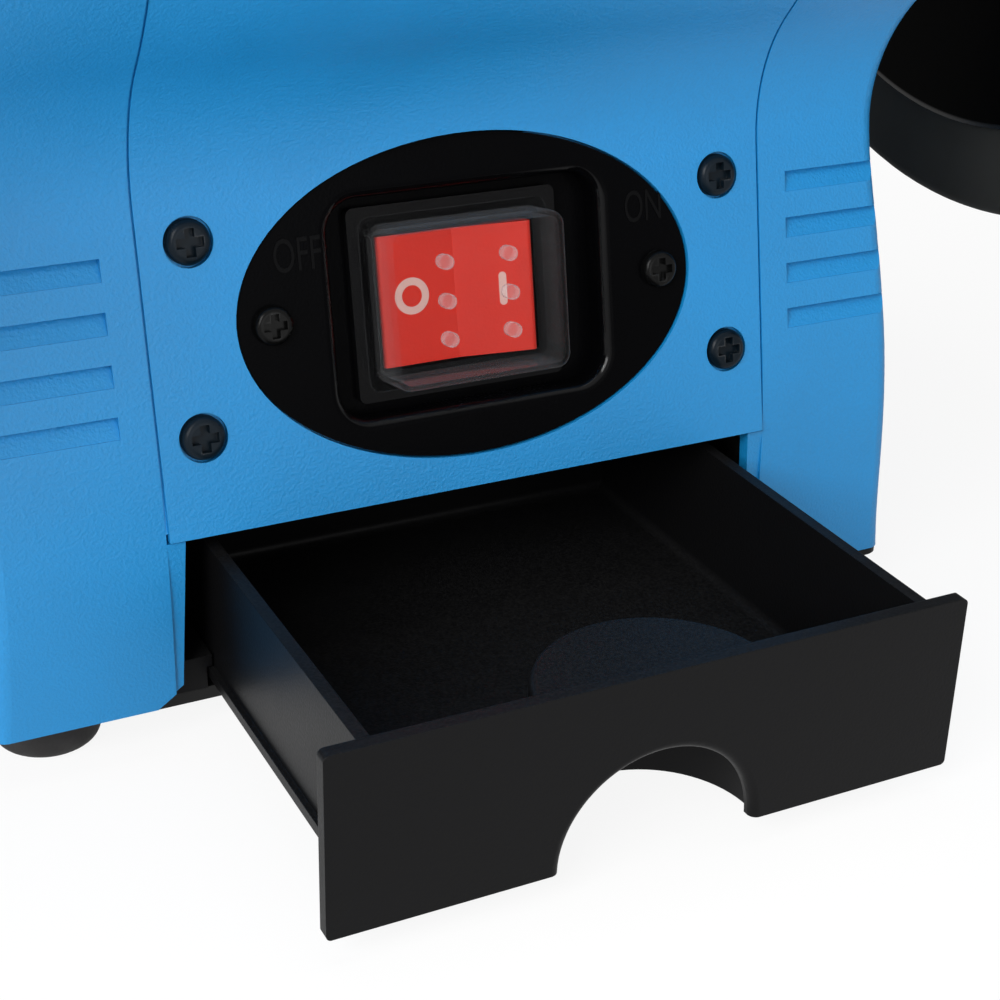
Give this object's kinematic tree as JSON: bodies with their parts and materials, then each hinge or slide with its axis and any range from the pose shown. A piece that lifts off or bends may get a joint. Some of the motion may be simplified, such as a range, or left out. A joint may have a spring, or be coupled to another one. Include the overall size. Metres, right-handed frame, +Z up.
{
  "type": "bench grinder",
  "caption": "Double-ended bench grinder: guarded abrasive wheels on a motor, tool rests, eye shields, a capped rocker switch and a storage drawer in the pedestal.",
  "frame": {"origin": "on the bench top, straight below the middle of the shaft and midway between the feet", "axes": "+X right along the shaft, +Y to the back, +Z up"},
  "size_m": [0.3862, 0.2437, 0.2595],
  "materials": {
    "blue_plastic": "fine satin moulding grain",
    "black_plastic": "satin moulding",
    "black_gloss": "semi-gloss moulding",
    "red_plastic": "glossy moulding",
    "clear_plastic": "clear, smooth",
    "rubber": "matt",
    "black_paint": "semi-gloss black paint",
    "bell_paint": "black painted casting",
    "zinc_steel": "zinc plated",
    "bare_steel": "turned and ground",
    "black_screw": "black zinc",
    "grey_abrasive": "coarse vitrified grit",
    "copper": "enamelled wire",
    "core_steel": "laminated",
    "cap_can": "drawn can"
  },
  "bodies": {
    "base": {"base_plate": "black_paint", "bearing_outer_rings": "bare_steel", "bezel_screws": "black_screw", "cable_gland": "black_plastic", "foot_screws": "black_screw", "front_cover": "blue_plastic", "front_screws": "black_screw", "guard_bolts": "zinc_steel", "guard_screws": "black_screw", "left_cheek": "blue_plastic", "left_drawer_rail": "black_plastic", "left_end_bell": "bell_paint", "left_inner_guard": "black_paint", "left_outer_guard": "black_paint", "left_rest_bracket": "black_paint", "left_shield_bracket": "zinc_steel", "motor_cradle": "zinc_steel", "pedestal_frame": "black_paint", "rear_cover": "blue_plastic", "rear_screws": "black_screw", "rest_bolts": "zinc_steel", "right_cheek": "blue_plastic", "right_drawer_rail": "black_plastic", "right_end_bell": "bell_paint", "right_inner_guard": "black_paint", "right_outer_guard": "black_paint", "right_rest_bracket": "black_paint", "right_shield_bracket": "zinc_steel", "rubber_feet": "rubber", "run_capacitor": "cap_can", "shield_pivots": "zinc_steel", "spark_screws": "zinc_steel", "stator_core": "core_steel", "stator_windings": "copper", "switch_bezel": "black_gloss", "switch_body": "black_plastic", "switch_cover": "clear_plastic"},
    "drawer": {"drawer": "black_plastic"},
    "rocker": {"rocker": "red_plastic"},
    "rotor": {"shaft": "bare_steel", "rotor_core": "core_steel", "bearing_inner_rings": "bare_steel", "bearing_balls": "bare_steel", "left_wheel": "grey_abrasive", "left_inner_flange": "bare_steel", "left_outer_flange": "bare_steel", "left_wheel_nut": "bare_steel", "right_wheel": "grey_abrasive", "right_inner_flange": "bare_steel", "right_outer_flange": "bare_steel", "right_wheel_nut": "bare_steel"},
    "left_rest": {"left_tool_rest": "zinc_steel"},
    "left_arrestor": {"left_spark_arrestor": "zinc_steel"},
    "left_shield": {"left_shield_holder": "black_paint", "left_eye_shield": "clear_plastic"},
    "right_rest": {"right_tool_rest": "zinc_steel"},
    "right_arrestor": {"right_spark_arrestor": "zinc_steel"},
    "right_shield": {"right_shield_holder": "black_paint", "right_eye_shield": "clear_plastic"}
  },
  "joints": [
    {"name": "rotor_spin", "type": "hinge", "parent": "base", "child": "rotor", "pos_m": [0, 0, 0.154], "axis": [1, 0, 0], "continuous": true},
    {"name": "drawer_slide", "type": "slide", "parent": "base", "child": "drawer", "axis": [0, -1, 0], "range_m": [-0.0555, 0.022]},
    {"name": "rocker_tilt", "type": "hinge", "parent": "base", "child": "rocker", "pos_m": [-0.001, -0.04432, 0.06585], "axis": [0, 0.1908, 0.9816], "range_deg": [0, 14]},
    {"name": "left_rest_slide", "type": "slide", "parent": "base", "child": "left_rest", "axis": [0, -1, 0], "range_m": [-0.0015, 0.012]},
    {"name": "left_arrestor_slide", "type": "slide", "parent": "base", "child": "left_arrestor", "axis": [0, -0.5299, 0.848], "range_m": [-0.0015, 0.006]},
    {"name": "left_shield_swing", "type": "hinge", "parent": "base", "child": "left_shield", "pos_m": [-0.1565, -0.092, 0.2475], "axis": [-1, 0, 0], "range_deg": [-15, 95]},
    {"name": "right_rest_slide", "type": "slide", "parent": "base", "child": "right_rest", "axis": [0, -1, 0], "range_m": [-0.0015, 0.012]},
    {"name": "right_arrestor_slide", "type": "slide", "parent": "base", "child": "right_arrestor", "axis": [0, -0.5299, 0.848], "range_m": [-0.0015, 0.006]},
    {"name": "right_shield_swing", "type": "hinge", "parent": "base", "child": "right_shield", "pos_m": [0.1565, -0.092, 0.2475], "axis": [-1, 0, 0], "range_deg": [-15, 95]}
  ]
}
